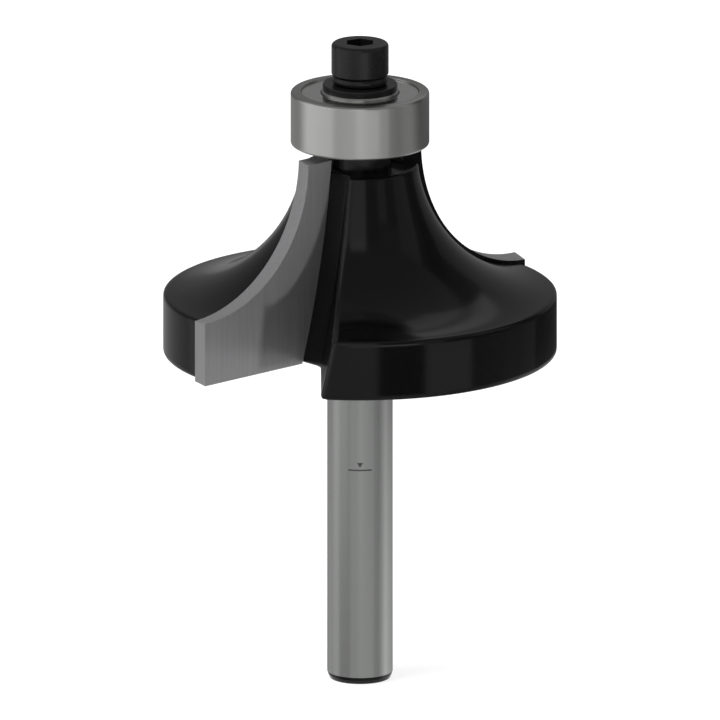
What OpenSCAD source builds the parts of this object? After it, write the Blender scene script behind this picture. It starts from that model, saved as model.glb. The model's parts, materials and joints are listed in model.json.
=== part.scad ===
// Rounding-over router bit with two brazed carbide tips and a guide bearing.
// The bit's axis is Z, the end of the shank is at Z = 0 and the screw head is at the top.
// Both cutting edges lie in the plane Y = 0.

/* [Shank] */
// Diameter of the shank
shank_d = 6; // [5:0.05:8]
// Length of the shank, up to the underside of the body
shank_l = 30.85; // [25:0.05:45]
// Height of the lead-in chamfer at the end of the shank
shank_chamfer = 0.65; // [0.3:0.05:1.5]

/* [Cutting edges] */
// Radius of the quarter round that the bit cuts
profile_r = 12.7; // [12:0.05:13]
// Length of the cutting edges along the axis
cutting_l = 18.6; // [18:0.05:20]
// Thickness of the carbide tips
tip_t = 2; // [1.6:0.1:2.4]
// Clearance angle ground behind the curved edge
relief_angle = 9.5; // [6:0.5:14]
// Clearance angle ground behind the straight edge
rim_relief_angle = 15.4; // [8:0.2:18]

/* [Body] */
// Diameter of the body
body_d = 36; // [35:0.1:36.6]
// Height of the body's rim, up to the lowest point of the cove
rim_h = 5.5; // [5:0.05:5.8]
// Height of the body, from the underside to the top face
body_h = 17.65; // [17.4:0.05:18.4]
// Radius of the body's cove
cove_r = 13.6; // [13.3:0.05:13.9]
// Distance of the cove's centre from the axis
cove_centre_r = 18.85; // [18.6:0.05:19]
// Rounding of the rim's edges
rim_round = 0.3; // [0.2:0.05:0.6]
// Chamfer that breaks the edge of the top face
top_chamfer = 0.35; // [0.1:0.05:0.6]
// Diameter of the neck under the bearing
neck_d = 5.76; // [5.5:0.02:6]

/* [Gullets] */
// Radius of the curved gullet floor, left by a large grinding wheel
floor_r = 99; // [80:1:140]
// Height of the floor's closest approach to the axis, above the end of the shank
floor_z = 58.9; // [56:0.1:60]
// Distance of the floor from the axis there
floor_root = 3.03; // [3.0:0.01:3.3]
// Width of the floor beside the cutting face
floor_w = 2.35; // [2:0.05:3]
// Angle between the gullet's heel wall and the radius of the cutting edge
heel_angle = 49.4; // [44:0.2:56]

/* [Guide bearing] */
// Outer diameter of the bearing
bearing_d = 12.7; // [12.6:0.05:12.8]
// Bore of the bearing
bearing_bore = 4.762; // [4.7:0.002:4.8]
// Width of the bearing
bearing_w = 4.98; // [4.9:0.01:5.1]
// Diameter of the balls
ball_d = 2.381; // [2.3:0.001:2.4]

/* [Screw and washers] */
// Diameter of the screw head
head_d = 5.25; // [5:0.05:5.5]
// Height of the screw head
head_h = 2.95; // [2.8:0.05:3.2]
// Width across the flats of the hex socket
socket_af = 2.38; // [2:0.01:2.5]
// Diameter of the screw's thread
thread_d = 3.175; // [3:0.005:3.2]
// Length of the screw below its head
screw_l = 12.7; // [11:0.1:13]
// Diameter of the flat washer
washer_d = 6.85; // [6.4:0.05:7]
// Thickness of the flat washer
washer_t = 0.62; // [0.4:0.02:0.8]
// Diameter of the spring washer
spring_d = 5.1; // [4.8:0.05:5.2]
// Thickness of the spring washer
spring_t = 0.9; // [0.6:0.05:1.1]

/* [Hidden] */

$fn = 96;
wheel_fn = 360;
// Reach of a cutter past the surface that it cuts
past = 1;

// Rise of the bearing above the underside of the body, and how far the spigot stays below its top
bearing_rise = 19.7;
spigot_sunk = 0.3;
// End play of the bearing: with the bit upright the outer ring hangs that much below the inner one
end_play = 0.1;

// Levels above the end of the shank
tip_top_z = shank_l + cutting_l;
body_top_z = shank_l + body_h;
bearing_z = shank_l + bearing_rise;
bearing_top_z = bearing_z + bearing_w;
ring_z = bearing_z - end_play;
ring_top_z = ring_z + bearing_w;
ball_z = bearing_z + (bearing_w - end_play) / 2;
washer_top_z = bearing_top_z + washer_t;
head_z = washer_top_z + spring_t;
spigot_top_z = bearing_top_z - spigot_sunk;

// The curved edge starts level with the guide bearing and sweeps out to the cutting radius
cut_r = bearing_d / 2 + profile_r;
cove_z = shank_l + rim_h + cove_r;
floor_centre_r = floor_root + floor_r;
heel_w = body_d / 2;

// Bearing races: the grooves are a little wider than the balls, which run with play
ball_n = 7;
pitch_r = (bearing_d + bearing_bore) / 4;
groove_fit = 1.08;
groove_r = ball_d / 2 * groove_fit;
ball_play = 0.03;
inner_land_r = 3.54;
outer_land_r = 5.18;
ring_chamfer = 0.15;
ring_round = 0.25;

// Covers: a thin disc with a lip that snaps into a groove of the outer ring
shield_t = 0.2;
shield_recess = 0.14;
shield_edge = 0.1;
shield_r = 5.42;
shield_gap = 0.08;
shield_bore_r = inner_land_r + shield_gap;
shield_lip = 0.7;
shield_lip_t = 0.18;
shield_bead = 0.08;
shield_bead_h = 0.2;
shield_seat = shield_recess + shield_lip;

// Ribbon cage pressed from thin strip, held together by a rivet between each pair of balls
cage_t = 0.18;
cage_in_r = 3.95;
cage_out_r = 4.8;
pocket_play = 0.05;
rivet_r = 0.16;
rivet_head_r = 0.27;
rivet_head_t = 0.1;
rivet_fn = 32;

// Play of the spigot in the bearing, of the thread in its hole and of the washers on the thread
spigot_play = 0.01;
thread_play = 0.01;
washer_play = 0.1;
thread_hole_r = thread_d / 2 + thread_play;
washer_hole_r = thread_d / 2 + washer_play;

// Direction of the hex socket and of the slit in the spring washer
screw_turn = 48;

coat_black = [0.10, 0.10, 0.11];
carbide_grey = [0.55, 0.56, 0.57];
ring_steel = [0.70, 0.70, 0.67];
oxide_black = [0.22, 0.22, 0.23];

// Section from the axis side r0 to r1, between two levels, with the outer corners rounded
module rounded_section(r0, r1, z0, z1, low_round, high_round) {
    translate([r0, z0]) square([r1 - low_round - r0, z1 - high_round - z0]);
    translate([r0, z0 + low_round]) square([r1 - high_round - r0, z1 - low_round - z0]);
    translate([r0, z0 + low_round]) square([r1 - r0, z1 - high_round - low_round - z0]);
    translate([r1 - low_round, z0 + low_round]) circle(r = low_round);
    translate([r1 - high_round, z1 - high_round]) circle(r = high_round);
}

// Copies for the two cutting edges, half a turn apart
module both_flutes() {
    for (turn = [0, 180]) rotate(turn) children();
}

// Disc of the grinding wheel that leaves the gullet floor, between two distances from the cutting face
module wheel_disc(y0, y1) {
    translate([floor_centre_r, y0, floor_z]) rotate([-90, 0, 0])
        cylinder(r = floor_r, h = y1 - y0, $fn = wheel_fn);
}

// Space of one gullet: tip seat, flat floor and the flared side that leaves the heel wall
module gullet() {
    wheel_disc(-tip_t, floor_w);
    translate([floor_centre_r, floor_w, floor_z]) rotate([-90, 0, 0])
        cylinder(r1 = floor_r, r2 = floor_r - heel_w / tan(heel_angle), h = heel_w, $fn = wheel_fn);
}

// Half section of the turned body, before the gullets are ground
module body_section() {
    top_r = cove_centre_r - sqrt(pow(cove_r, 2) - pow(cove_z - body_top_z, 2));
    // The rim's rounding starts a little higher, so that the cove runs into it
    rim_top_z = shank_l + rim_h + 0.1;
    difference() {
        union() {
            translate([0, shank_l]) square([body_d / 2 - rim_round, body_h]);
            rounded_section(0, body_d / 2, shank_l, rim_top_z, rim_round, rim_round);
        }
        translate([cove_centre_r, cove_z]) circle(r = cove_r, $fn = 256);
        translate([top_r - top_chamfer, body_top_z])
            polygon([[-past, past], [2 * past, past], [2 * past, -2 * past]]);
    }
}

// Half section of the shank with its lead-in chamfer and the fillet under the body
module shank_section() {
    r = shank_d / 2;
    chamfer_in = 0.2;
    fillet = 0.6;
    polygon([[0, 0], [r - chamfer_in, 0], [r, shank_chamfer],
             [r, shank_l + past], [0, shank_l + past]]);
    difference() {
        translate([r - past, shank_l - fillet]) square([past + fillet, fillet + past]);
        translate([r + fillet, shank_l - fillet]) circle(r = fillet);
    }
}

// Half section of the neck that carries the inner ring, and of the spigot through the bore
module neck_section() {
    spigot_r = bearing_bore / 2 - spigot_play;
    lead = 0.25;
    translate([0, body_top_z - past]) square([neck_d / 2, bearing_z - body_top_z + past]);
    polygon([[0, body_top_z], [spigot_r, body_top_z], [spigot_r, spigot_top_z - lead],
             [spigot_r - lead, spigot_top_z], [0, spigot_top_z]]);
}

// Tapped hole for the screw, with a countersink and the cone that the drill leaves
module screw_hole() {
    depth = 14;
    bottom_z = spigot_top_z - depth;
    sink = 0.3;
    drill_cone_h = thread_hole_r * tan(31);
    translate([0, 0, bottom_z]) cylinder(r = thread_hole_r, h = depth + past);
    translate([0, 0, bottom_z - drill_cone_h]) cylinder(r1 = 0, r2 = thread_hole_r, h = drill_cone_h);
    translate([0, 0, spigot_top_z - sink])
        cylinder(r1 = thread_hole_r, r2 = thread_hole_r + sink, h = sink);
}

module cutter_body() {
    color(coat_black) difference() {
        rotate_extrude() {
            shank_section();
            body_section();
            neck_section();
        }
        both_flutes() gullet();
        screw_hole();
    }
}

// Carbide tip on the +X side: a flat plate whose cutting face is the plane Y = 0
module tip() {
    rim_relief = tip_t * tan(rim_relief_angle);
    back_growth = tan(relief_angle);
    color(carbide_grey) difference() {
        intersection() {
            translate([0, 0, shank_l]) linear_extrude(cutting_l)
                polygon([[0, 0], [cut_r, 0], [cut_r - rim_relief, -tip_t], [0, -tip_t]]);
            wheel_disc(-tip_t - past, past);
        }
        translate([cut_r, past, tip_top_z]) rotate([90, 0, 0])
            cylinder(r1 = profile_r - past * back_growth,
                     r2 = profile_r + (tip_t + past) * back_growth,
                     h = tip_t + 2 * past, $fn = wheel_fn);
    }
}

// Inner ring: chamfered bore, deep groove for the balls
module bearing_inner_ring() {
    bore_r = bearing_bore / 2;
    c = ring_chamfer;
    deepest = pitch_r - ball_d / 2 - ball_play;
    color(ring_steel) rotate_extrude() translate([0, bearing_z]) difference() {
        polygon([[bore_r + c, 0], [inner_land_r - c, 0], [inner_land_r, c],
                 [inner_land_r, bearing_w - c], [inner_land_r - c, bearing_w],
                 [bore_r + c, bearing_w], [bore_r, bearing_w - c], [bore_r, c]]);
        translate([deepest + groove_r, bearing_w / 2]) circle(r = groove_r);
    }
}

// Recess, groove and land that the outer ring has at the end where z = 0
module shield_seat_section() {
    translate([0, -past]) square([shield_r, shield_seat + past]);
    translate([0, shield_seat - shield_bead_h]) square([shield_r + shield_bead, shield_bead_h]);
}

module bearing_outer_ring() {
    deepest = pitch_r + ball_d / 2 + ball_play;
    color(ring_steel) rotate_extrude() translate([0, ring_z]) difference() {
        rounded_section(outer_land_r, bearing_d / 2, 0, bearing_w, ring_round, ring_round);
        translate([deepest - groove_r, bearing_w / 2]) circle(r = groove_r);
        shield_seat_section();
        translate([0, bearing_w]) mirror([0, 1]) shield_seat_section();
    }
}

// Cover for the end of the bearing where z = 0
module shield() {
    bead_z = shield_seat - shield_bead_h;
    disc_z = shield_recess + shield_t;
    rotate_extrude() polygon([
        [shield_bore_r, shield_recess], [shield_r - shield_edge, shield_recess],
        [shield_r, shield_recess + shield_edge],
        [shield_r, bead_z], [shield_r + shield_bead, bead_z],
        [shield_r + shield_bead, shield_seat], [shield_r - shield_lip_t, shield_seat],
        [shield_r - shield_lip_t, disc_z], [shield_bore_r, disc_z]]);
}

module shield_lower() {
    color(ring_steel) translate([0, 0, ring_z]) shield();
}

module shield_upper() {
    color(ring_steel) translate([0, 0, ring_top_z]) mirror([0, 0, 1]) shield();
}

// Places on the pitch circle, from the first ball or half a step past it
module round_the_pitch(step = 0) {
    for (i = [1:ball_n]) rotate(360 / ball_n * (i + step)) translate([pitch_r, 0, 0]) children();
}

module ball(i) {
    color(ring_steel) rotate(360 / ball_n * i) translate([pitch_r, 0, ball_z])
        sphere(d = ball_d);
}

// Pressed half of the cage above the middle plane: a flat ribbon with a domed pocket over each ball
module cage_half() {
    pocket_r = ball_d / 2 + pocket_play;
    difference() {
        intersection() {
            union() {
                cylinder(r = cage_out_r + past, h = cage_t);
                round_the_pitch() sphere(r = pocket_r + cage_t);
            }
            difference() {
                cylinder(r = cage_out_r, h = ball_d);
                translate([0, 0, -past]) cylinder(r = cage_in_r, h = ball_d + 2 * past);
            }
        }
        round_the_pitch() sphere(r = pocket_r);
        round_the_pitch(0.5) translate([0, 0, -past])
            cylinder(r = rivet_r, h = cage_t + 2 * past, $fn = rivet_fn);
    }
}

module cage_upper() {
    color(ring_steel) translate([0, 0, ball_z]) cage_half();
}

module cage_lower() {
    color(ring_steel) translate([0, 0, ball_z]) mirror([0, 0, 1]) cage_half();
}

module cage_rivets() {
    color(ring_steel) translate([0, 0, ball_z]) round_the_pitch(0.5) {
        translate([0, 0, -cage_t]) cylinder(r = rivet_r, h = 2 * cage_t, $fn = rivet_fn);
        for (z = [-cage_t - rivet_head_t, cage_t]) translate([0, 0, z])
            cylinder(r = rivet_head_r, h = rivet_head_t, $fn = rivet_fn);
    }
}

module flat_washer() {
    edge = 0.12;
    color(oxide_black) rotate_extrude()
        rounded_section(washer_hole_r, washer_d / 2, bearing_top_z, washer_top_z, edge, edge);
}

// Split ring with rounded edges, closed flat by the tightened screw
module spring_washer() {
    slit = 0.35;
    edge = 0.4;
    color(oxide_black) difference() {
        rotate_extrude()
            rounded_section(washer_hole_r, spring_d / 2, washer_top_z, head_z, edge, edge);
        rotate(screw_turn) translate([0, -slit / 2, washer_top_z - past])
            cube([spring_d, slit, spring_t + 2 * past]);
    }
}

module cap_screw() {
    top_z = head_z + head_h;
    low_edge = 0.12;
    top_edge = 0.35;
    end_c = 0.35;
    end_z = head_z - screw_l;
    shaft_r = thread_d / 2;
    socket_z = top_z - 1.5;
    socket_cone_h = 0.4;
    socket_r = socket_af / 2 / cos(30);
    color(oxide_black) difference() {
        rotate_extrude() {
            polygon([[0, end_z], [shaft_r - end_c, end_z], [shaft_r, end_z + end_c],
                     [shaft_r, head_z + past], [0, head_z + past]]);
            rounded_section(0, head_d / 2, head_z, top_z, low_edge, top_edge);
        }
        translate([0, 0, socket_z]) rotate(screw_turn)
            cylinder(r = socket_r, h = top_z - socket_z + past, $fn = 6);
        translate([0, 0, socket_z - socket_cone_h])
            cylinder(r1 = 0, r2 = socket_af / 2, h = socket_cone_h);
    }
}

cutter_body();
tip();  // tip_a
rotate(180) tip();  // tip_b
bearing_inner_ring();
bearing_outer_ring();
shield_upper();
shield_lower();
cage_upper();
cage_lower();
cage_rivets();
flat_washer();
spring_washer();
cap_screw();
for (i = [1:ball_n]) ball(i);
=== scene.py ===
# %% [markdown]
# # A rounding-over router bit with a guide bearing
# The solids were drawn in CAD and packed: body, two carbide tips, ball bearing, washers and screw.
# Blender gives them their finishes and the small roundings that catch the light. Everything is in metres,
# the bit's axis is Z, and the end of the shank stands on the floor at Z = 0.

import json
import math

import bmesh
import bpy
import numpy as np
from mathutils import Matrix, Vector

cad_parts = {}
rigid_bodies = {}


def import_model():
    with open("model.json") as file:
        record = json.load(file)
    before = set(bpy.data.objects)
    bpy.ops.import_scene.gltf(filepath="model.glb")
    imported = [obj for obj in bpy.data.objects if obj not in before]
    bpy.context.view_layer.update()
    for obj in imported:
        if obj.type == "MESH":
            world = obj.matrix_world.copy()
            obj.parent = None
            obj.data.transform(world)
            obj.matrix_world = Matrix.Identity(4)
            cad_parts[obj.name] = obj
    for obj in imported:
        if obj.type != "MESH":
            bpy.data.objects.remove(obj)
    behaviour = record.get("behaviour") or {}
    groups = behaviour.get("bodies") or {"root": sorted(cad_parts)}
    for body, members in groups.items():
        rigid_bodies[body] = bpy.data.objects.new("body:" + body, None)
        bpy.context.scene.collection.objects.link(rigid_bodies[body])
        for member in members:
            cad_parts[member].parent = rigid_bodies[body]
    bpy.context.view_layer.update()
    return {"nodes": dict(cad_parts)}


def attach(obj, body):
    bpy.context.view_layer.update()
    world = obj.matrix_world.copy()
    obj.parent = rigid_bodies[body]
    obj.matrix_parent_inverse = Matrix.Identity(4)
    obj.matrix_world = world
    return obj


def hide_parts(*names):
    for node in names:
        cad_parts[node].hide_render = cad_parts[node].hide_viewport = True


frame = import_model()
nodes = frame["nodes"]
scene = bpy.context.scene
scene.view_settings.view_transform = "Standard"

# %% [markdown]
# ## The camera
# The bit is seen from 15 degrees above the level and from its own front left, and the picture has no visible
# perspective, so the camera is orthographic: its scale is simply the width of the picture in metres.

# %% Set up the camera
VIEW_TURN = math.radians(-42)
VIEW_LIFT = math.radians(15)
PICTURE_WIDTH = 0.06581
PICTURE_MIDDLE = Vector((0, 0, 0.02994))
CAMERA_DISTANCE = 1.0

towards_camera = Vector((math.sin(VIEW_TURN) * math.cos(VIEW_LIFT),
                         -math.cos(VIEW_TURN) * math.cos(VIEW_LIFT),
                         math.sin(VIEW_LIFT)))
camera = bpy.data.objects.new("camera", bpy.data.cameras.new("camera"))
camera.data.type = "ORTHO"
camera.data.ortho_scale = PICTURE_WIDTH
camera.data.clip_end = 10
camera.location = PICTURE_MIDDLE + CAMERA_DISTANCE * towards_camera
camera.rotation_euler = towards_camera.to_track_quat("Z", "Y").to_euler()
scene.collection.objects.link(camera)
scene.camera = camera
print("camera at", [round(c, 3) for c in camera.location])

# %% [markdown]
# ## A helper for grids
# Every new surface here is a grid of points worked out with numpy. The helper joins neighbouring points
# with four-sided faces, closes the grid round on itself if asked, and can cap its first and last row.
# Smooth shading hides the small faces, and edges sharper than a limit stay crisp.


# %% Grid helper
def grid_object(name, points, wrap=False, caps=False, finish=None, crisp=30):
    """Mesh from an array of points (rows, columns, 3), in metres. Point i, j is joined to its neighbours
    i + 1 and j + 1. With wrap the last column is joined to the first, and caps close the two end rows."""
    rows, columns = points.shape[:2]
    index = np.arange(rows * columns).reshape(rows, columns)
    ring = np.hstack([index, index[:, :1]]) if wrap else index
    quads = np.stack([ring[:-1, :-1], ring[:-1, 1:], ring[1:, 1:], ring[1:, :-1]], axis=-1).reshape(-1, 4)
    faces = quads.tolist()
    if caps:
        faces += [index[0, ::-1].tolist(), index[-1].tolist()]
    mesh = bpy.data.meshes.new(name)
    mesh.from_pydata(points.reshape(-1, 3), [], faces)
    mesh.shade_smooth()
    mesh.set_sharp_from_angle(angle=math.radians(crisp))
    piece = bpy.data.objects.new(name, mesh)
    scene.collection.objects.link(piece)
    if finish:
        mesh.materials.append(finish)
    return piece


def turned(profile, steps=192):
    """Points of a turned surface: each profile point (r, z) goes round the axis as (r cos a, r sin a, z)."""
    a = np.linspace(0, 2 * np.pi, steps + 1)[:-1]
    r, z = profile[:, :1], profile[:, 1:]
    return np.stack([r * np.cos(a), r * np.sin(a), z + 0 * a], axis=-1)


print("grid helpers ready, a turned ring has", turned(np.ones((1, 2))).shape[1], "points")

# %% [markdown]
# ## Rays that see
# The background has to be white to the eye, but a brighter background would throw more light on the bit. A
# material can ask what kind of ray has met it. So floor and world show white to the rays that see them, and
# keep a plainer level for the rays that only carry light. This helper turns the question into a 1 or a 0.


# %% Helper for rays that see
def seen_directly(tree):
    """1 for rays from the camera, from reflections and through glass, 0 for all others: the largest
    of the three."""
    path = tree.nodes.new("ShaderNodeLightPath")
    first = tree.nodes.new("ShaderNodeMath")
    first.operation = "MAXIMUM"
    tree.links.new(path.outputs["Is Camera Ray"], first.inputs[0])
    tree.links.new(path.outputs["Is Glossy Ray"], first.inputs[1])
    second = tree.nodes.new("ShaderNodeMath")
    second.operation = "MAXIMUM"
    tree.links.new(first.outputs[0], second.inputs[0])
    tree.links.new(path.outputs["Is Transmission Ray"], second.inputs[1])
    return second.outputs[0]


print("ray helper ready")

# %% [markdown]
# ## The floor
# Everything rests on a plain pale floor, a flat round sheet just under the end of the shank. Rays that see it
# find almost pure white, but part of its shade stays, so the bit keeps a soft shadow.

# %% Floor
WHITE_SHARE = 0.8
PAPER_GREY = 0.9
FLOOR_REACH, FLOOR_DROP, FLOOR_COLUMNS = 3.0, 2e-5, 96


def floor_paper():
    """White paper: most of it shows as plain white to the eye, and the rest as matt paper that takes
    the shadow."""
    material = bpy.data.materials.new("floor_paper")
    material.use_nodes = True
    tree = material.node_tree
    tree.nodes.clear()
    out = tree.nodes.new("ShaderNodeOutputMaterial")
    matt = tree.nodes.new("ShaderNodeBsdfDiffuse")
    matt.inputs["Color"].default_value = (PAPER_GREY, PAPER_GREY, PAPER_GREY, 1)
    glow = tree.nodes.new("ShaderNodeEmission")
    glow.inputs["Strength"].default_value = 1.0
    share = tree.nodes.new("ShaderNodeMath")
    share.operation = "MULTIPLY"
    share.inputs[1].default_value = WHITE_SHARE
    mix = tree.nodes.new("ShaderNodeMixShader")
    tree.links.new(seen_directly(tree), share.inputs[0])
    tree.links.new(share.outputs[0], mix.inputs[0])
    tree.links.new(matt.outputs[0], mix.inputs[1])
    tree.links.new(glow.outputs[0], mix.inputs[2])
    tree.links.new(mix.outputs[0], out.inputs["Surface"])
    return material


turn = np.linspace(0, 2 * np.pi, FLOOR_COLUMNS + 1)[:-1]
reach = np.array([1e-4, 0.2, FLOOR_REACH])[:, None]
floor_points = np.stack([reach * np.cos(turn), reach * np.sin(turn), 0 * reach * turn - FLOOR_DROP], axis=-1)
floor = grid_object("floor", floor_points, wrap=True, finish=floor_paper())
print("floor of", len(floor.data.polygons), "faces")

# %% [markdown]
# ## The world
# The world is white to the eye as well, and a little darker as a light. That leaves the lamps something to
# do, so one side of each piece is lighter than the other.

# %% World
SKY_STRENGTH = 0.55

world = bpy.data.worlds.new("studio")
scene.world = world
world.use_nodes = True
sky = world.node_tree
sky_light = sky.nodes["Background"]
sky_light.inputs["Strength"].default_value = SKY_STRENGTH
sky_white = sky.nodes.new("ShaderNodeBackground")
sky_mix = sky.nodes.new("ShaderNodeMixShader")
sky_light.inputs["Color"].default_value = (1, 1, 1, 1)
sky_white.inputs["Color"].default_value = (1, 1, 1, 1)
sky.links.new(seen_directly(sky), sky_mix.inputs[0])
sky.links.new(sky_light.outputs[0], sky_mix.inputs[1])
sky.links.new(sky_white.outputs[0], sky_mix.inputs[2])
sky.links.new(sky_mix.outputs[0], sky.nodes["World Output"].inputs["Surface"])
print("world ready, strength as a light", SKY_STRENGTH)

# %% [markdown]
# ## The lamps
# Three large soft lamps give a plain level of light. The fourth is small, near and almost level with the
# body: it throws the shadow of the body's heel on the carbide, which tells how deep the gullet is. All four
# stay out of the reflections, because the cards of the next step make those.


# %% Lamps
def soft_lamp(name, side, lift, distance, size, power):
    """Square lamp that looks at the middle of the bit: side degrees right of the camera, lift degrees up."""
    a, e = math.radians(side) + VIEW_TURN, math.radians(lift)
    away = Vector((math.sin(a) * math.cos(e), -math.cos(a) * math.cos(e), math.sin(e)))
    lamp = bpy.data.objects.new(name, bpy.data.lights.new(name, "AREA"))
    lamp.data.shape = "SQUARE"
    lamp.data.size = size
    lamp.data.energy = power
    lamp.location = PICTURE_MIDDLE + distance * away
    lamp.rotation_euler = away.to_track_quat("Z", "Y").to_euler()
    lamp.visible_glossy = False
    lamp.visible_camera = False
    scene.collection.objects.link(lamp)


# name, side and lift (degrees), distance and size (metres), power (watts)
LAMPS = [
    ("lamp_left", -70, 55, 1.2, 0.9, 32),
    ("lamp_front", 15, 35, 1.3, 0.8, 3),
    ("lamp_above", 150, 70, 1.2, 0.9, 8),
    ("lamp_low", 31, -2, 0.35, 0.022, 1.1),
]
for lamp_values in LAMPS:
    soft_lamp(*lamp_values)
print(len(LAMPS), "lamps of", sum(values[-1] for values in LAMPS), "watts together")

# %% [markdown]
# ## The grey cards
# Steel and glossy black show nothing but what they reflect, so a product photographer stands cards round
# them. Each card has its side, from one angle to another seen from above and counted from the camera, its
# lowest and highest level, and how light it is. They were set by trial, as a photographer does it: where a
# band on the bit was lighter or darker than in the photograph, the card that the band mirrors was changed.

# %% The cards round the bit
# side from, side to, lift from, lift to (all in degrees), lightness
CARDS = [
    (-168, -112, -9, 20, 0.34),
    (-168, -112, 20, 58, 0.18),
    (-112, -102, -9, 58, 0.60),
    (-102, -44, -9, 58, 0.90),
    (-44, -16, -9, 58, 0.60),
    (-16, 10, -9, 6, 0.55),
    (-16, -6, 6, 18, 0.50),
    (-6, 10, 6, 18, 0.95),
    (-16, 10, 18, 62, 0.80),
    (10, 36, -9, 8, 0.03),
    (10, 32, 8, 21, 1.50),
    (10, 32, 21, 58, 0.19),
    (36, 64, -9, 6, 0.66),
    (32, 47, 6, 46, 0.44),
    (47, 65, 6, 18, 0.08),
    (47, 65, 18, 46, 0.20),
    (32, 65, 46, 58, 0.26),
    (64, 96, -9, 6, 0.18),
    (65, 94, 6, 18, 0.06),
    (65, 94, 18, 58, 0.37),
    (94, 104, 6, 58, 0.12),
    (96, 118, -9, 6, 0.14),
    (104, 122, 6, 58, 0.07),
    (118, 192, -9, 10, 0.04),
    (122, 170, 10, 44, 0.18),
    (170, 192, 10, 26, 0.30),
    (170, 192, 26, 44, 0.19),
    (122, 146, 44, 58, 0.09),
    (146, 192, 44, 54, 0.19),
    (146, 176, 47, 68, 0.28),
    (-180, 180, 58, 90, 0.25),
]
print(len(CARDS), "cards, lightness", min(card[-1] for card in CARDS), "to", max(card[-1] for card in CARDS))

# %% [markdown]
# ## The mat
# The shank mirrors the mat that it stands on, so the mat is divided too: each sector runs outwards from the
# shank between two sides and has its own lightness. They were set by trial like the cards.

# %% The mat under the bit
# side from, side to (degrees), lightness
MATS = [
    (-180, -150, 0.28),
    (-150, -110, 0.54),
    (-110, -80, 0.62),
    (-80, -36, 0.34),
    (-36, -6, 0.50),
    (-6, 50, 0.56),
    (50, 78, 0.42),
    (78, 92, 0.66),
    (92, 116, 0.98),
    (116, 138, 0.72),
    (138, 180, 0.50),
]
print(len(MATS), "sectors on the mat")

# %% [markdown]
# ## How light a direction is
# A hard border would show as a hard line in the coat. The bands of the real bit have soft borders, so each
# border of a card is a soft ramp here. A card is four such ramps multiplied, and the cards add up.

# %% Lightness of the cards
CARD_BORDER = 2.5


def sector(side, side_a, side_b, border):
    """1 between two side angles, 0 outside them, with a soft step at each border: the distance from the
    middle of the sector, counted the short way round, is compared with half its width."""
    middle, half = (side_a + side_b) / 2, (side_b - side_a) / 2
    off = np.abs((side - middle + 180) % 360 - 180)
    return np.clip((half - off) / border + 0.5, 0, 1) if half < 180 else 1.0 + 0 * off


def card_light(side, lift, border=CARD_BORDER):
    """Lightness in a direction: the sum of the cards, each one multiplied by four soft steps, one for
    each border."""
    total = np.zeros_like(side)
    for side_a, side_b, lift_a, lift_b, lightness in CARDS:
        up = np.clip((lift - lift_a) / border + 0.5, 0, 1) * np.clip((lift_b - lift) / border + 0.5, 0, 1)
        total = total + lightness * sector(side, side_a, side_b, border) * up
    return total


behind_camera = card_light(np.array([0.0]), np.array([math.degrees(VIEW_LIFT)]))
print("lightness of the card behind the camera:", behind_camera.round(2)[0])

# %% [markdown]
# ## How the shank mirrors the mat
# A straight line on the mat doesn't look upright in a round bar: what lies close to the bar shows further
# round its side than what lies far away. So the sectors are bent the other way, and then the bands on the
# shank are upright.

# %% Lightness of the mat
SHANK_RADIUS = 0.003
MAT_BORDER = 5.0


def mirrored_side(side, reach):
    """Side in which the shank mirrors a point of the mat, so that the bands stay upright down to the
    shank's end: twice the side a of the shank's own point, where 2 a - side is the arc sine of
    shank radius * sin(a) / reach."""
    own = side / 2
    for _ in range(30):
        own = (side + np.arcsin(np.clip(SHANK_RADIUS * np.sin(own) / reach, -1, 1))) / 2
    return 2 * own


def mat_light(side, reach, border=MAT_BORDER):
    """Lightness of the mat at a point: the sum of its sectors."""
    seen = np.degrees(mirrored_side(side, reach))
    return sum(lightness * sector(seen, side_a, side_b, border) for side_a, side_b, lightness in MATS)


beside = math.degrees(mirrored_side(math.radians(60), SHANK_RADIUS))
print("a point at side 60, right beside the shank, counts as side", round(beside))

# %% [markdown]
# ## The tent of cards
# All cards together are one round tent over the mat. The lightness is worked out at each point and kept in
# the mesh as an attribute, which its glow reads. Only reflections can see the tent: it neither lights the bit
# nor shades it, so its cards can be set without a change to the light.

# %% Build the tent
TENT_RADIUS = 0.12
MAT_LEVEL = 0.0002
MAT_ROWS = 40


def card_paint():
    """Glow whose strength is the card attribute of the tent's mesh."""
    material = bpy.data.materials.new("card_paint")
    material.use_nodes = True
    tree = material.node_tree
    tree.nodes.clear()
    out = tree.nodes.new("ShaderNodeOutputMaterial")
    glow = tree.nodes.new("ShaderNodeEmission")
    card = tree.nodes.new("ShaderNodeAttribute")
    card.attribute_name = "card"
    tree.links.new(card.outputs["Fac"], glow.inputs["Strength"])
    tree.links.new(glow.outputs[0], out.inputs["Surface"])
    return material


# one column of points for each degree of side, and one row for each degree of lift
side = np.radians(np.linspace(-180, 180, 361)[:-1])[None, :]
lift = np.radians(np.linspace(0, 89.9, 91))[:, None]
theta = side - np.pi / 2 + VIEW_TURN
tent_points = TENT_RADIUS * np.stack([np.cos(lift) * np.cos(theta), np.cos(lift) * np.sin(theta),
                                      np.sin(lift) + 0 * theta], axis=-1)
tent_points[..., 2] += MAT_LEVEL
mat_reach = np.geomspace(SHANK_RADIUS, TENT_RADIUS, MAT_ROWS)[:-1, None]
mat_points = np.stack([mat_reach * np.cos(theta), mat_reach * np.sin(theta),
                       MAT_LEVEL + 0 * mat_reach * theta], axis=-1)
tent = grid_object("tent_of_cards", np.vstack([mat_points, tent_points]), wrap=True, finish=card_paint())
levels = np.vstack([mat_light(side + 0 * mat_reach, mat_reach),
                    card_light(np.degrees(side) + 0 * lift, np.degrees(lift) + 0 * side)])
card = tent.data.attributes.new("card", "FLOAT", "POINT")
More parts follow.
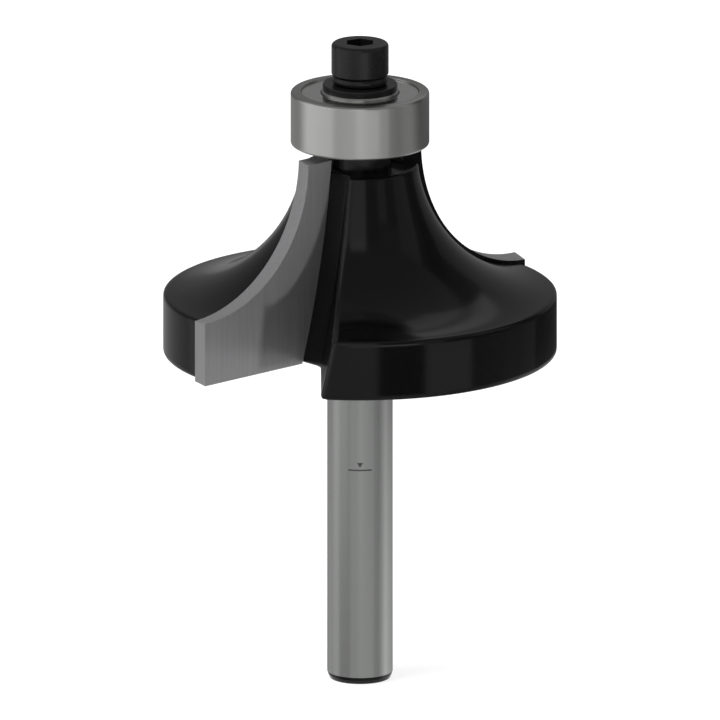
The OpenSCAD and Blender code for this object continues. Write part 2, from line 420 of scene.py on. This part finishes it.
card.data.foreach_set("value", levels.astype(np.float32).ravel())
for kind in ("camera", "diffuse", "transmission", "volume_scatter", "shadow"):
    setattr(tent, "visible_" + kind, False)
print("tent of", len(tent.data.polygons), "faces, lightest point", levels.max().round(2))

# %% [markdown]
# ## Finishes
# Each finish starts from Blender's Principled shader. Small noise in the bit's own coordinates stands for the
# grain of the real surface. It could be a picture, but noise has no seams and needs no unwrapping.


# %% A finish and its noise
def new_finish(name, metallic, roughness, base):
    """A material with one Principled shader. Returns the material, its tree and the shader."""
    material = bpy.data.materials.new(name)
    material.use_nodes = True
    shader = material.node_tree.nodes["Principled BSDF"]
    shader.inputs["Metallic"].default_value = metallic
    shader.inputs["Roughness"].default_value = roughness
    shader.inputs["Base Color"].default_value = (*base, 1)
    return material, material.node_tree, shader


def stretched_noise(tree, scale, stretch=(1, 1, 1), detail=2.0):
    """Noise in object coordinates, multiplied by stretch along X, Y and Z. Scale is in features per metre."""
    where = tree.nodes.new("ShaderNodeTexCoord")
    mapping = tree.nodes.new("ShaderNodeMapping")
    mapping.inputs["Scale"].default_value = stretch
    noise = tree.nodes.new("ShaderNodeTexNoise")
    noise.inputs["Scale"].default_value = scale
    noise.inputs["Detail"].default_value = detail
    tree.links.new(where.outputs["Object"], mapping.inputs["Vector"])
    tree.links.new(mapping.outputs[0], noise.inputs["Vector"])
    return noise.outputs["Fac"]


def spread(tree, value, low, high):
    """Turns a value from 0 to 1 into one from low to high."""
    node = tree.nodes.new("ShaderNodeMapRange")
    node.inputs["To Min"].default_value = low
    node.inputs["To Max"].default_value = high
    tree.links.new(value, node.inputs["Value"])
    return node.outputs["Result"]


print("helpers for a finish and its noise ready")

# %% [markdown]
# ## Grain, brushing and colour
# Grain works in three ways. It tilts the surface by a tiny amount, which a bump node does. Lines in one
# direction stretch the reflections across them, which the shader calls anisotropy. And it makes the colour
# a little uneven.


# %% Bump, brush and colour
def bump(tree, shader, height, depth, strength=1.0):
    """Tilts the surface by a height pattern whose full depth is given in metres."""
    node = tree.nodes.new("ShaderNodeBump")
    node.inputs["Distance"].default_value = depth
    node.inputs["Strength"].default_value = strength
    tree.links.new(height, node.inputs["Height"])
    tree.links.new(node.outputs[0], shader.inputs["Normal"])


def round_brush(tree, shader, amount):
    """Brushing round the axis: reflections stretch across the brush lines."""
    tangent = tree.nodes.new("ShaderNodeTangent")
    tangent.direction_type = "RADIAL"
    tangent.axis = "Z"
    tree.links.new(tangent.outputs[0], shader.inputs["Tangent"])
    shader.inputs["Anisotropic"].default_value = amount
    shader.inputs["Anisotropic Rotation"].default_value = 0.25


def colours(tree, value, dark, light):
    """Mixes two colours by a value from 0 to 1."""
    node = tree.nodes.new("ShaderNodeMix")
    node.data_type = "RGBA"
    node.inputs["A"].default_value = (*dark, 1)
    node.inputs["B"].default_value = (*light, 1)
    tree.links.new(value, node.inputs["Factor"])
    return node.outputs["Result"]


print("helpers for grain ready")

# %% [markdown]
# ## Black coat
# The body is sprayed with a black lacquer and baked. It scatters hardly any light of its own, so its base
# colour is close to nothing and its look is all in the reflections. A low specular level keeps them dark.


# %% Black coat of the body
def black_coat():
    """Baked black lacquer: very dark, glossy, with a faint skin from spraying."""
    material, tree, shader = new_finish("black_coat", 0, 0.13, (0.0009, 0.0009, 0.001))
    shader.inputs["Specular IOR Level"].default_value = 0.25
    grain = stretched_noise(tree, 5000)
    tree.links.new(spread(tree, grain, 0.10, 0.16), shader.inputs["Roughness"])
    bump(tree, shader, grain, 1.5e-7)
    return material


COAT = black_coat()
print("made the finish", COAT.name)

# %% [markdown]
# ## Ground carbide
# A diamond wheel grinds the tips, and its lines run up and down the cutting faces. Carbide is grains of a
# hard ceramic in a little metal. So it is only partly metallic here, and the lamps light it too. Noise
# that is stretched along Z gives the lines.


# %% Ground carbide
def ground_carbide():
    """Sintered carbide after the diamond wheel: grey, half matt, with fine lines along the wheel's travel."""
    material, tree, shader = new_finish("ground_carbide", 0.72, 0.34, (0.21, 0.21, 0.215))
    lines = stretched_noise(tree, 5000, (1, 1, 0.02))
    tree.links.new(spread(tree, lines, 0.32, 0.38), shader.inputs["Roughness"])
    shade = colours(tree, lines, (0.17, 0.17, 0.174), (0.25, 0.25, 0.255))
    tree.links.new(shade, shader.inputs["Base Color"])
    bump(tree, shader, lines, 4e-8)
    return material


CARBIDE = ground_carbide()
print("made the finish", CARBIDE.name)

# %% [markdown]
# ## Ground and brushed steel
# Shank and guide ring are ground while they turn. The fine lines go round them, and that stretches every
# reflection upwards and downwards into a band. Anisotropy round the Z axis does this.


# %% Ground and brushed steel
def ground_steel():
    """Shank ground between centres: fine lines round the axis, so reflections stretch up and down."""
    material, tree, shader = new_finish("ground_steel", 1, 0.3, (0.405, 0.415, 0.405))
    round_brush(tree, shader, 0.7)
    lines = stretched_noise(tree, 9000, (0.02, 0.02, 1))
    tree.links.new(spread(tree, lines, 0.27, 0.36), shader.inputs["Roughness"])
    bump(tree, shader, lines, 6e-8)
    return material


def brushed_ring():
    """Outer ring of the bearing, brushed round: the same lines as the shank's, on lighter steel."""
    material, tree, shader = new_finish("brushed_ring_steel", 1, 0.3, (0.50, 0.50, 0.49))
    round_brush(tree, shader, 0.8)
    lines = stretched_noise(tree, 9000, (0.02, 0.02, 1))
    tree.links.new(spread(tree, lines, 0.26, 0.36), shader.inputs["Roughness"])
    bump(tree, shader, lines, 1e-7)
    return material


SHANK_STEEL, RING_STEEL = ground_steel(), brushed_ring()
print("made the finishes", SHANK_STEEL.name, "and", RING_STEEL.name)

# %% [markdown]
# ## Rolled and polished steel
# The shields are pressed from rolled sheet, smooth enough to mirror the washer above them. Balls and cage are
# closed in behind the shields, so a plain polish will do.


# %% Rolled and polished steel
def shield_sheet():
    """Pressed covers of the bearing: smooth rolled sheet, so the dark washer shows in it."""
    material, tree, shader = new_finish("shield_sheet", 1, 0.16, (0.80, 0.80, 0.79))
    grain = stretched_noise(tree, 6000)
    tree.links.new(spread(tree, grain, 0.14, 0.20), shader.inputs["Roughness"])
    bump(tree, shader, grain, 5e-8)
    return material


def polished_steel():
    """Balls and cage deep inside the bearing, polished."""
    material, tree, shader = new_finish("polished_steel", 1, 0.15, (0.5, 0.5, 0.49))
    grain = stretched_noise(tree, 5000)
    tree.links.new(spread(tree, grain, 0.1, 0.2), shader.inputs["Roughness"])
    return material


SHIELD, BALL_STEEL = shield_sheet(), polished_steel()
print("made the finishes", SHIELD.name, "and", BALL_STEEL.name)

# %% [markdown]
# ## Black oxide and laser mark
# Screw and washers have a thin dark skin of oxide, and the laser leaves a dark skin too. Both could be metal
# with a dark colour, but such a skin scatters light as a paint does, so neither is metallic here.


# %% Black oxide and laser mark
def black_oxide():
    """Screw and washers blued in a hot bath: a dark skin, a little less glossy than the lacquer."""
    material, tree, shader = new_finish("black_oxide", 0, 0.26, (0.003, 0.003, 0.0032))
    shader.inputs["Specular IOR Level"].default_value = 0.28
    grain = stretched_noise(tree, 7000)
    tree.links.new(spread(tree, grain, 0.22, 0.30), shader.inputs["Roughness"])
    bump(tree, shader, grain, 1e-7)
    return material


def laser_black():
    """Laser mark: the beam turns the skin of the steel matt and dark."""
    material, tree, shader = new_finish("laser_black", 0, 0.6, (0.02, 0.02, 0.02))
    grain = stretched_noise(tree, 12000)
    tree.links.new(spread(tree, grain, 0.5, 0.7), shader.inputs["Roughness"])
    return material


OXIDE, LASER = black_oxide(), laser_black()
print("made the finishes", OXIDE.name, "and", LASER.name)

# %% [markdown]
# ## Finishes on the CAD pieces
# Bearing, washers and screw keep the meshes of their solids, because those already have every edge that
# shows. They only change their material. The body and the tips are left, and get new meshes below.


# %% Finishes on the CAD pieces
def wear(material, *names):
    """Gives the named CAD nodes one material in place of their own."""
    for name in names:
        nodes[name].data.materials.clear()
        nodes[name].data.materials.append(material)


wear(RING_STEEL, "bearing_outer_ring", "bearing_inner_ring")
wear(SHIELD, "shield_upper", "shield_lower")
wear(OXIDE, "flat_washer", "spring_washer", "cap_screw")
wear(BALL_STEEL, "cage_upper", "cage_lower", "cage_rivets", *["ball_%d" % i for i in range(1, 8)])
new_finishes = (RING_STEEL, SHIELD, OXIDE, BALL_STEEL)
worn = [name for name in nodes if nodes[name].data.materials[0] in new_finishes]
print("new finishes on", len(worn), "of the", len(nodes), "CAD pieces")

# %% [markdown]
# ## The coated body
# The body is turned first and then a large grinding wheel opens two gullets in it. Lacquer leaves no sharp
# edge: it draws back to a small rounding, and that rounding is the bright line beside each gullet. A level
# section of the body is easy to draw, but a rounding between a hollow cove and a conical wall isn't. So the
# body is drawn sharp from the sizes below, and its points then slide onto the rounded shape.

# %% Sizes of the body, in millimetres
BODY_LOW, BODY_TOP = 30.85, 48.5
RIM_RADIUS, COVE_RADIUS, COVE_SIDE, COVE_LEVEL = 18.0, 13.6, 18.85, 49.95
RIM_ROUND, TOP_ROUND, HEEL_ROUND, FLOOR_ROUND = 0.3, 0.3, 0.5, 0.3
TIP_THICK = 2.0
WHEEL_RADIUS, WHEEL_SIDE, WHEEL_LEVEL = 99.0, 102.03, 58.9
FLOOR_WIDTH, HEEL_SLOPE = 2.35, math.tan(math.radians(49.4))
print("body", 2 * RIM_RADIUS, "mm across and", round(BODY_TOP - BODY_LOW, 2), "mm high")

# %% [markdown]
# ## The body as a distance
# Each wall is written as a distance: negative inside the body, positive outside. The larger of two distances
# gives the solid that two walls share, with a sharp edge. A rounded mixture of them gives the same solid with
# a rounding of constant size, whatever the shape of the walls.


# %% Distance to the body
def rounded_max(a, b, radius):
    """Distance to the overlap of two solids whose shared edge is rounded: inside the corner band it is the
    length of the two distances, counted from a line that lies the radius deeper."""
    inner = np.minimum(-radius, np.maximum(a, b))
    return inner + np.hypot(np.maximum(a + radius, 0), np.maximum(b + radius, 0))


def body_distance(p):
    """Distance to the body with all roundings, at points p: rim and cove, ends, then the gullet on the
    +X side."""
    x, y, z = p[..., 0], p[..., 1], p[..., 2]
    cove = COVE_RADIUS - np.hypot(np.hypot(x, y) - COVE_SIDE, z - COVE_LEVEL)
    turned_side = rounded_max(cove, np.hypot(x, y) - RIM_RADIUS, RIM_ROUND)
    turned_side = rounded_max(turned_side, BODY_LOW - z, RIM_ROUND)
    turned_side = rounded_max(turned_side, z - BODY_TOP, TOP_ROUND)
    from_wheel = np.hypot(x - WHEEL_SIDE, z - WHEEL_LEVEL)
    floor = WHEEL_RADIUS - from_wheel
    heel = (floor - (y - FLOOR_WIDTH) / HEEL_SLOPE) * math.sin(math.atan(HEEL_SLOPE))
    gullet = -rounded_max(-floor, -heel, FLOOR_ROUND)
    return rounded_max(turned_side, gullet, HEEL_ROUND)


rim_point = np.array([0.0, RIM_RADIUS, BODY_LOW + 3])
print("distance at a point of the rim:", abs(body_distance(rim_point).round(3)), "mm")

# %% [markdown]
# ## Sliding onto the surface
# The slope of the distance points straight away from the surface. So a point that isn't on the surface yet
# gets there by a step back along the slope, as long as its distance. A few rounds are enough.


# %% Slope and settling
def slope_of(distance, p, step=1e-4):
    """Slope of a distance along X, Y and Z, from the difference over a tiny step each way."""
    offsets = step * np.eye(3)
    return np.stack([(distance(p + o) - distance(p - o)) / (2 * step) for o in offsets], axis=-1)


def settle(distance, p, rounds=8):
    """Slides points along the slope until the distance is zero: p = p - d * slope / slope squared."""
    for _ in range(rounds):
        slope = slope_of(distance, p)
        p = p - (distance(p) / np.maximum((slope ** 2).sum(-1), 0.2))[..., None] * slope
    return p


settled = settle(body_distance, rim_point + [0, 0.4, 0])
print("a point 0.4 mm outside the rim settles", np.hypot(*settled[:2]).round(3), "mm from the axis")

# %% [markdown]
# ## Spacing and the heel wall
# Two helpers come before the sections. One spaces points closer together near the corners, where the
# roundings will come. The other gives the sloping heel wall, which is part of a cone.


# %% Spacing and heel wall
def eased(count, first=True, last=True):
    """Numbers from 0 to 1, closer together at the chosen ends: half a cosine wave, or a quarter of one."""
    t = np.linspace(0, 1, count)
    if first and last:
        return (1 - np.cos(np.pi * t)) / 2
    if first:
        return 1 - np.cos(np.pi * t / 2)
    return np.sin(np.pi * t / 2)


def wall_point(t, z):
    """Point of the heel wall t past the floor: y = floor width + t, and x from the circle of the wheel
    there, whose radius falls by t / slope."""
    reach = WHEEL_RADIUS - t / HEEL_SLOPE
    x = WHEEL_SIDE - np.sqrt(reach ** 2 - (z - WHEEL_LEVEL) ** 2)
    return np.stack([x, FLOOR_WIDTH + t + 0 * z, z + 0 * t], -1)


print("eased numbers:", eased(5).round(3))

# %% [markdown]
# ## Level sections
# At each level the outline goes from the seat of one tip to the seat of the other: over the flat part of the
# gullet's floor, up the heel wall, and round the outer land. Half an outline is enough, because the bit is
# the same after half a turn.


# %% Half a section at each level
def half_sections(radius, z, n_floor=14, n_wall=44, n_land=120):
    """For each level, the outline from one tip's seat to the other: floor, heel wall and outer land. The
    heel is where the wall reaches the radius of the body, found by halving the range 50 times."""
    z, radius = z[:, None], radius[:, None]
    y = -TIP_THICK + (FLOOR_WIDTH + TIP_THICK) * eased(n_floor, first=False)[None, :-1]
    floor_x = WHEEL_SIDE - np.sqrt(WHEEL_RADIUS ** 2 - (z - WHEEL_LEVEL) ** 2)
    floor = np.stack([floor_x + 0 * y, y + 0 * z, z + 0 * y], -1)
    near, far = 0 * z, 0 * z + RIM_RADIUS
    for _ in range(50):
        middle = (near + far) / 2
        inside = np.hypot(*np.moveaxis(wall_point(middle, z)[..., :2], -1, 0)) < radius
        near, far = np.where(inside, middle, near), np.where(inside, far, middle)
    wall = wall_point(near * eased(n_wall)[None, :-1], z)
    heel = wall_point(near, z)
    start = np.arctan2(heel[..., 1], heel[..., 0])
    end = np.pi - np.arcsin(TIP_THICK / radius)
    angle = start + (end - start) * eased(n_land, last=False)[None, :]
    land = np.stack([radius * np.cos(angle), radius * np.sin(angle), z + 0 * angle], -1)
    return np.concatenate([floor, wall, land], axis=1)


print("points in half a section:", half_sections(np.array([RIM_RADIUS]), np.array([BODY_LOW])).shape[1])

# %% [markdown]
# ## Levels of the body
# The straight rim and the round cove meet at a corner. Rim levels lie closer together at both of its ends,
# and cove levels follow equal steps of angle on the quarter round, which keeps its curve even.

# %% Sharp sections of the body
RIM_LEVELS, COVE_LEVELS = 26, 110
corner_z = COVE_LEVEL - math.sqrt(COVE_RADIUS ** 2 - (COVE_SIDE - RIM_RADIUS) ** 2)
rim_z = BODY_LOW + (corner_z - BODY_LOW) * eased(RIM_LEVELS)
around = np.linspace(math.asin((COVE_SIDE - RIM_RADIUS) / COVE_RADIUS),
                     math.acos((COVE_LEVEL - BODY_TOP) / COVE_RADIUS), COVE_LEVELS)[1:]
cove_z = COVE_LEVEL - COVE_RADIUS * np.cos(around)
level = np.concatenate([rim_z, cove_z])
radius = np.concatenate([RIM_RADIUS + 0 * rim_z, COVE_SIDE - COVE_RADIUS * np.sin(around)])
sections = half_sections(radius, level)
print("sections:", sections.shape[0], "levels of", sections.shape[1], "points")

# %% [markdown]
# ## The body from its sections
# The two ends need rows too, so copies of the lowest and highest outline are moved inwards in small steps.
# They end before the middle of the smallest corner, or their points would cross. Then all points settle on
# the rounded shape, half a turn of the half outline closes it, and two caps close the ends.


# %% Build the body
def pulled_in(row, distances):
    """Copies of an outline moved inwards along the level slope of the body's distance."""
    slope = slope_of(body_distance, row)
    slope[..., 2] = 0
    slope /= np.maximum(np.linalg.norm(slope, axis=-1, keepdims=True), 1e-6)
    return row[None] - np.array(distances)[:, None, None] * slope[None]


inset = [0.42, 0.38, 0.34, 0.28, 0.2, 0.13, 0.07, 0.03]
# the slopes are taken away from the ends, half-way up the rim and a little under the top
MIDDLE_ROW, UNDER_TOP = 12, 1.2
middle_row = sections[MIDDLE_ROW] * [1, 1, 0] + [0, 0, (BODY_LOW + corner_z) / 2]
bottom = pulled_in(middle_row, inset)
bottom[..., 2] = BODY_LOW
top = pulled_in(sections[-1] - [0, 0, UNDER_TOP], inset[::-1])
top[..., 2] = BODY_TOP
half = settle(body_distance, np.concatenate([bottom, sections, top]))


def with_seats(half, n_seat=10):
    """Adds the straight seat line behind the far tip, then turns a copy by half a turn to close the
    outline."""
    far_end, turned_start = half[:, -1:], half[:, :1] * [-1, -1, 1]
    t = np.linspace(0, 1, n_seat + 2)[None, 1:-1, None]
    seat = far_end + t * (turned_start - far_end)
    one = np.concatenate([half, seat], axis=1)
    return np.concatenate([one, one * [-1, -1, 1]], axis=1)


coated_body = grid_object("coated_body", 0.001 * with_seats(half), wrap=True, caps=True, finish=COAT)
print("coated body:", len(coated_body.data.polygons), "faces")

# %% [markdown]
# ## Carbide tips
# Each tip is a flat plate with one ground face on the cutting plane. Behind the cutting edge its side falls
# back, so that only the edge touches the wood: at the back the quarter round is a slightly larger circle,
# set a little higher. The plate is a bent block: three numbers from 0 to 1 say how far out, how far along
# the edge and how deep a point lies. A block could also be cut from a plate with Booleans, but this way its
# faces stay clean and even.

# %% Sizes and shape of a tip, in millimetres
TIP_TOP, EDGE_SIDE, EDGE_RADIUS = 49.45, 19.05, 12.7
BACK_SIDE, BACK_LEVEL, BACK_RADIUS, BACK_RIM = 19.04, 49.85, 13.31, 18.5
CURVED_SHARE = 0.75


def tip_profile(b, centre_x, centre_z, radius, rim_x):
    """Outer edge from the top (b = 0) to the bottom (b = 1): a quarter round over the curved share, and
    then a straight line."""
    first = math.asin((centre_z - TIP_TOP) / radius)
    last = math.acos((centre_x - rim_x) / radius)
    a = first + (last - first) * np.clip(b / CURVED_SHARE, 0, 1)
    x, z = centre_x - radius * np.cos(a), centre_z - radius * np.sin(a)
    straight = np.clip((b - CURVED_SHARE) / (1 - CURVED_SHARE), 0, 1)
    return x, z + straight * (BODY_LOW - z)


def tip_point(a, b, v):
    """Point a of the way out, b along the edge and v deep: mixes the front and back edges, then mixes that
    with the curved gullet floor at the same level."""
    a, b, v = np.broadcast_arrays(a, b, v)
    front = tip_profile(b, EDGE_SIDE, TIP_TOP, EDGE_RADIUS, EDGE_SIDE)
    back = tip_profile(b, BACK_SIDE, BACK_LEVEL, BACK_RADIUS, BACK_RIM)
    x, z = [f + v * (r - f) for f, r in zip(front, back)]
    inner = WHEEL_SIDE - np.sqrt(WHEEL_RADIUS ** 2 - (z - WHEEL_LEVEL) ** 2)
    return np.stack([inner + a * (x - inner), -TIP_THICK * v, z], axis=-1)


print("cutting edge from", tip_point(1.0, 0.0, 0.0).round(2), "to", tip_point(1.0, 1.0, 0.0).round(2))

# %% [markdown]
# ## The six sides of a tip
# Each side of the block is a grid with one of the three numbers held at 0 or 1. The order of its rows and
# columns decides which way it faces, so some of them run backwards.

# %% Sides of a tip
CARBIDE_SLOT, COAT_SLOT = 0, 1


def tip_sides():
    """The six grids of the block, each with its material. The back lies in its seat, so it wears the coat."""
    a, b, v = np.linspace(0, 1, 24), np.linspace(0, 1, 97), np.linspace(0, 1, 9)
    return [
        (tip_point(a[None, :], b[:, None], 0.0), CARBIDE_SLOT),
        (tip_point(a[None, ::-1], b[:, None], 1.0), COAT_SLOT),
        (tip_point(1.0, b[:, None], v[None, :]), CARBIDE_SLOT),
        (tip_point(0.0, b[:, None], v[None, ::-1]), CARBIDE_SLOT),
        (tip_point(a[None, :], 0.0, v[::-1, None]), CARBIDE_SLOT),
        (tip_point(a[None, :], 1.0, v[:, None]), CARBIDE_SLOT),
    ]


print("a tip has", len(tip_sides()), "sides")

# %% [markdown]
# ## Joining the sides
# The six grids go into one mesh. Their edges lie on each other, so equal points are merged, and the block is
# closed. The second tip is the first one turned by half a turn.


# %% Build the tips
def join_doubles(mesh):
    """Merges points that lie on each other, so the faces of the block share their edges."""
    work = bmesh.new()
    work.from_mesh(mesh)
    bmesh.ops.remove_doubles(work, verts=work.verts, dist=1e-7)
    work.to_mesh(mesh)
    work.free()


def tip_object(name, side):
    """All sides joined into one closed mesh. side is 1 for the tip at +X and -1 for the one at -X."""
    points, quads, paints, count = [], [], [], 0
    for grid, paint in tip_sides():
        rows, columns = grid.shape[:2]
        index = count + np.arange(rows * columns).reshape(rows, columns)
        corners = [index[:-1, :-1], index[1:, :-1], index[1:, 1:], index[:-1, 1:]]
        quads.append(np.stack(corners, -1).reshape(-1, 4))
        paints.append(np.full(len(quads[-1]), paint))
        points.append(grid.reshape(-1, 3))
        count += rows * columns
    place = np.vstack(points) * [side, side, 1] * 0.001
    mesh = bpy.data.meshes.new(name)
    mesh.from_pydata(place, [], np.vstack(quads).tolist())
    mesh.materials.append(CARBIDE)
    mesh.materials.append(COAT)
    mesh.polygons.foreach_set("material_index", np.concatenate(paints).astype(np.int32))
    mesh.shade_smooth()
    join_doubles(mesh)
    mesh.set_sharp_from_angle(angle=math.radians(25))
    piece = bpy.data.objects.new(name, mesh)
    scene.collection.objects.link(piece)
    return piece


for name, node_name, side in (("ground_tip_a", "tip_a", 1), ("ground_tip_b", "tip_b", -1)):
    piece = tip_object(name, side)
    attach(piece, "cutter")
    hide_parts(node_name)
    print(name, len(piece.data.polygons), "faces")

# %% [markdown]
# ## Shank and neck
# Both are turned, so each is a short profile carried round the axis. The shank is bare ground steel, with
# the dark lead-in chamfer that helps it into the collet and the lacquered root under the body. The neck
# under the bearing and the spigot in it are dark as well.


# %% Turned pieces of the cutter
def arc(centre, radius, first, last, steps=8):
    """Points of a circular arc in the profile plane, angles in degrees counted from outwards to upwards."""
    a = np.radians(np.linspace(first, last, steps))
    return [(centre[0] + radius * math.cos(t), centre[1] + radius * math.sin(t)) for t in a]


# sizes in millimetres: shank, its end and lead-in chamfer, its root under the body, neck and spigot
SHANK = 1000 * SHANK_RADIUS
END_FACE, END_ROUND, LEAD_MIDDLE, LEAD_IN = 2.7, 0.1, 2.9, 0.65
SHANK_MIDDLE, SHANK_TOP = 15.0, 30.2
ROOT_START, ROOT_ROUND, ROOT_TOP = 30.25, 0.6, 30.95
NECK, NECK_START, NECK_TOP, NECK_ROUND = 2.88, 48.3, 50.55, 0.08
SPIGOT, SPIGOT_SIDE_TOP, SPIGOT_END, SPIGOT_TOP, TAPPED_HOLE = 2.36, 55.05, 2.1, 55.23, 1.6
shank_profile = [(1e-4, 0.0), (END_FACE, 0.0), *arc((END_FACE, END_ROUND), END_ROUND, -90, -17, 5),
                 (LEAD_MIDDLE, LEAD_IN / 2), (SHANK - 0.002, LEAD_IN - 0.01), (SHANK, LEAD_IN + 0.01),
                 (SHANK, SHANK_MIDDLE), (SHANK, SHANK_TOP),
                 *arc((SHANK + ROOT_ROUND, ROOT_START), ROOT_ROUND, 180, 90, 8),
                 (SHANK + ROOT_ROUND, ROOT_TOP)]
shank = grid_object("ground_shank", 0.001 * turned(np.array(shank_profile)), wrap=True, finish=SHANK_STEEL)
shank.data.materials.append(COAT)
heights = np.array([face.center[2] for face in shank.data.polygons])
lacquered = (heights < 0.001 * LEAD_IN) | (heights > 0.001 * ROOT_START)
shank.data.polygons.foreach_set("material_index", lacquered.astype(np.int32))
neck_profile = [(NECK, NECK_START), (NECK, NECK_TOP - NECK_ROUND),
                *arc((NECK - NECK_ROUND, NECK_TOP - NECK_ROUND), NECK_ROUND, 0, 90, 4),
                (SPIGOT, NECK_TOP), (SPIGOT, SPIGOT_SIDE_TOP), (SPIGOT_END, SPIGOT_TOP),
                (TAPPED_HOLE, SPIGOT_TOP)]
neck = grid_object("blackened_neck", 0.001 * turned(np.array(neck_profile)), wrap=True, finish=OXIDE)
print("shank and neck:", len(shank.data.polygons), "and", len(neck.data.polygons), "faces")

# %% [markdown]
# ## Depth mark
# A laser marks how deep the shank has to go into the collet: a short level line, and a small triangle that
# points down at it. The mark is burnt into the skin, so it is a very thin plate bent round the shank.


# %% Laser mark on the shank
# sizes in millimetres: how far the plate stands out and reaches in, then the line and the triangle
MARK_OUT, MARK_IN = 0.003, 0.03
LINE_LOW, LINE_HIGH, LINE_HALF = 20.22, 20.36, 1.1
ARROW_LOW, ARROW_HIGH, ARROW_POINT, ARROW_HALF = 20.55, 21.0, 0.01, 0.28


def marked_patch(name, low, high, half_widths, steps=12):
    """Thin plate bent round the shank on the side that faces the camera. Its rows go up from low to high, and
    each row is a closed loop: along the outside over twice the half width, and back along the inside."""
    middle = VIEW_TURN - np.pi / 2
    across = np.linspace(-1, 1, steps)
    rows = []
    for z, half in zip(np.linspace(low, high, len(half_widths)), half_widths):
        a = middle + half * np.concatenate([across, across[::-1]]) / SHANK
        r = np.repeat([SHANK + MARK_OUT, SHANK - MARK_IN], steps)
        rows.append(np.stack([r * np.cos(a), r * np.sin(a), z + 0 * a], axis=-1))
    return grid_object(name, 0.001 * np.array(rows), wrap=True, caps=True, finish=LASER)


depth_line = marked_patch("depth_line", LINE_LOW, LINE_HIGH, [LINE_HALF, LINE_HALF])
depth_arrow = marked_patch("depth_arrow", ARROW_LOW, ARROW_HIGH, [ARROW_POINT, ARROW_HALF])
for piece, slot_name in ((coated_body, "coated_steel"), (neck, "coated_steel"), (shank, "polished_steel"),
                         (depth_line, "polished_steel"), (depth_arrow, "polished_steel")):
    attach(piece, "cutter")
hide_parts("cutter_body")
print("depth mark ready, and the body, shank and neck ride the cutter")
